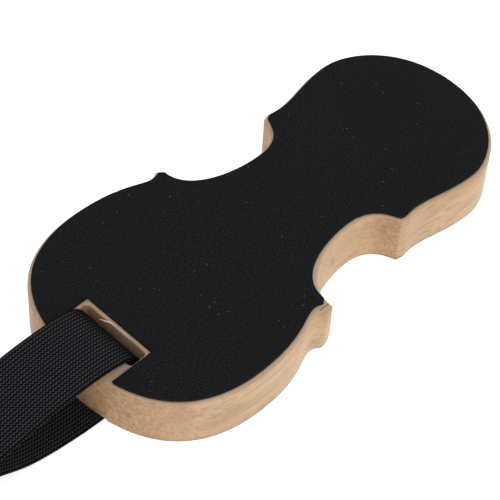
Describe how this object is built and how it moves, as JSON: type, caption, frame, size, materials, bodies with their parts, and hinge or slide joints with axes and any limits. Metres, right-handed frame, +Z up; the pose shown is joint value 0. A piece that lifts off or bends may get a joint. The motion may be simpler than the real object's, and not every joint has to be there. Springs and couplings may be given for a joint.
{
  "type": "cello endpin rest",
  "caption": "Violin-shaped wooden endpin rest with a black grip pad, a metal endpin cup and an adjustable webbing strap for a chair leg.",
  "frame": {"origin": "under the middle of the board, on the surface that it lies on, wood face down", "axes": "+X along the board to its narrow head, the strap leaves the tail towards -X, +Z up through the grip pad"},
  "size_m": [0.6171, 0.0996, 0.0397],
  "materials": {
    "maple": "satin clear finish over pale wood",
    "grip_fabric": "matt, fine-grained foam-backed fabric",
    "adhesive_film": "thin double-sided film",
    "cup_brass": "turned, satin",
    "screw_steel": "zinc-plated",
    "webbing": "woven polypropylene webbing",
    "thread": "bonded thread",
    "slider_plastic": "moulded nylon, fine texture"
  },
  "bodies": {
    "board": {"wooden_board": "maple", "pad_adhesive": "adhesive_film", "grip_pad": "grip_fabric", "endpin_cup": "cup_brass", "cup_screws": "screw_steel", "strap_anchor_loop": "webbing", "anchor_stitching": "thread"},
    "strap": {"strap_run": "webbing", "hem_stitching": "thread"},
    "slider": {"strap_slider": "slider_plastic"}
  },
  "joints": [
    {"name": "strap_lift", "type": "hinge", "parent": "board", "child": "strap", "pos_m": [-0.184, 0, 0.0216], "axis": [0, 1, 0], "range_deg": [0, 70]},
    {"name": "slider_travel", "type": "slide", "parent": "strap", "child": "slider", "axis": [1, 0, 0], "range_m": [-0.012, 0.012]}
  ]
}
